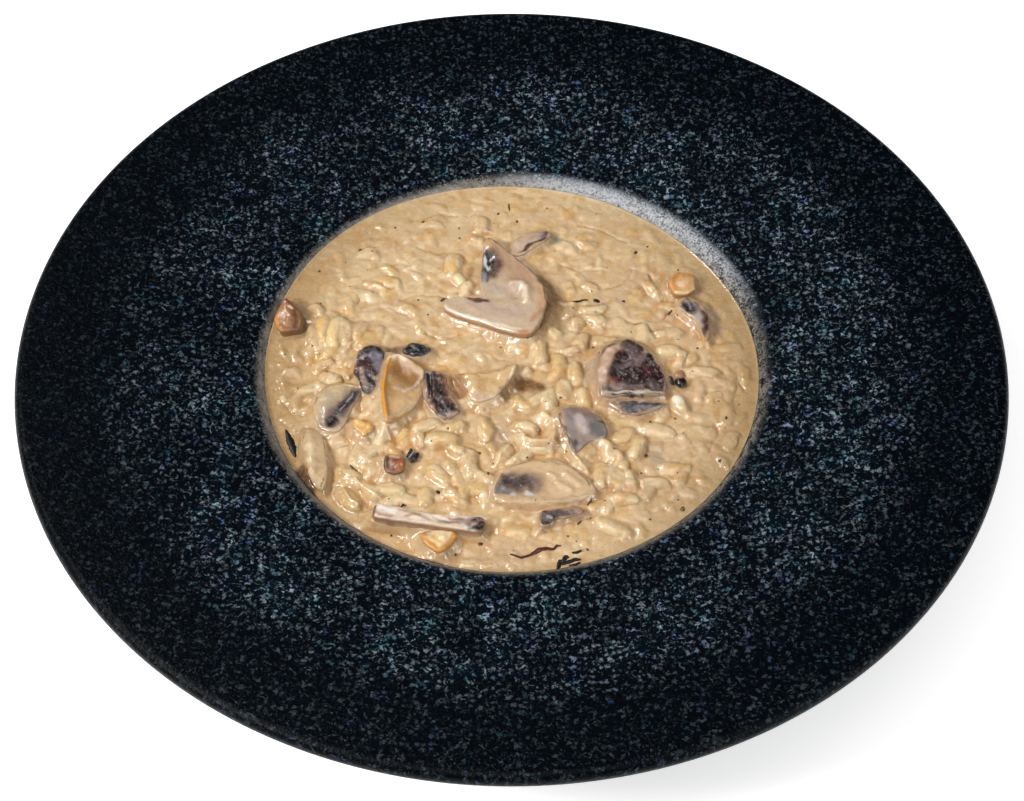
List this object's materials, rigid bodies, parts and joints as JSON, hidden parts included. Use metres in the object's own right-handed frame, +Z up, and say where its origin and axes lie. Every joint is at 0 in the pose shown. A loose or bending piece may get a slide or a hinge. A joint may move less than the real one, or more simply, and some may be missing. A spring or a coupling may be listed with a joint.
{
  "type": "mushroom risotto in a wide-rimmed plate",
  "caption": "Creamy rice with sliced mushrooms filling the deep well of a round, wide-rimmed, speckled navy stoneware plate.",
  "frame": {"origin": "on the table under the middle of the plate, at the bottom of the foot ring", "axes": "+Z up, the axis of the turned plate; -Y is the near side of the plated food and +X its right"},
  "size_m": [0.28, 0.28, 0.0471],
  "materials": {
    "speckled_glaze": "near-black navy, satin, finely speckled in grey, teal and blue",
    "creamy_rice": "wet, creamy beige sauce over plump rice",
    "mushroom_flesh": "wet, pale pinkish-beige",
    "mushroom_gills": "wet, black-brown and mauve, wrinkled",
    "mushroom_skin": "wet, orange-tan"
  },
  "bodies": {
    "root": {"plate": "speckled_glaze", "risotto": "creamy_rice", "mushroom_slice_large": "mushroom_flesh", "mushroom_slice_back": "mushroom_flesh", "mushroom_slice_crescent": "mushroom_flesh", "mushroom_slice_curled": "mushroom_flesh", "mushroom_slice_petal": "mushroom_flesh", "mushroom_slice_pale": "mushroom_flesh", "mushroom_slice_low": "mushroom_flesh", "mushroom_slice_long": "mushroom_flesh", "mushroom_slice_fan": "mushroom_skin", "mushroom_strip": "mushroom_flesh", "mushroom_cap_dark": "mushroom_gills", "mushroom_cap_fold": "mushroom_gills", "mushroom_cap_left": "mushroom_gills", "mushroom_scrap_left": "mushroom_gills", "mushroom_scrap_gilled": "mushroom_gills", "mushroom_scrap_low": "mushroom_gills", "mushroom_dice_right": "mushroom_skin", "mushroom_dice_left": "mushroom_skin", "mushroom_dice_brown": "mushroom_skin", "mushroom_nugget_amber": "mushroom_skin", "mushroom_nugget_yellow": "mushroom_skin"}
  },
  "joints": []
}
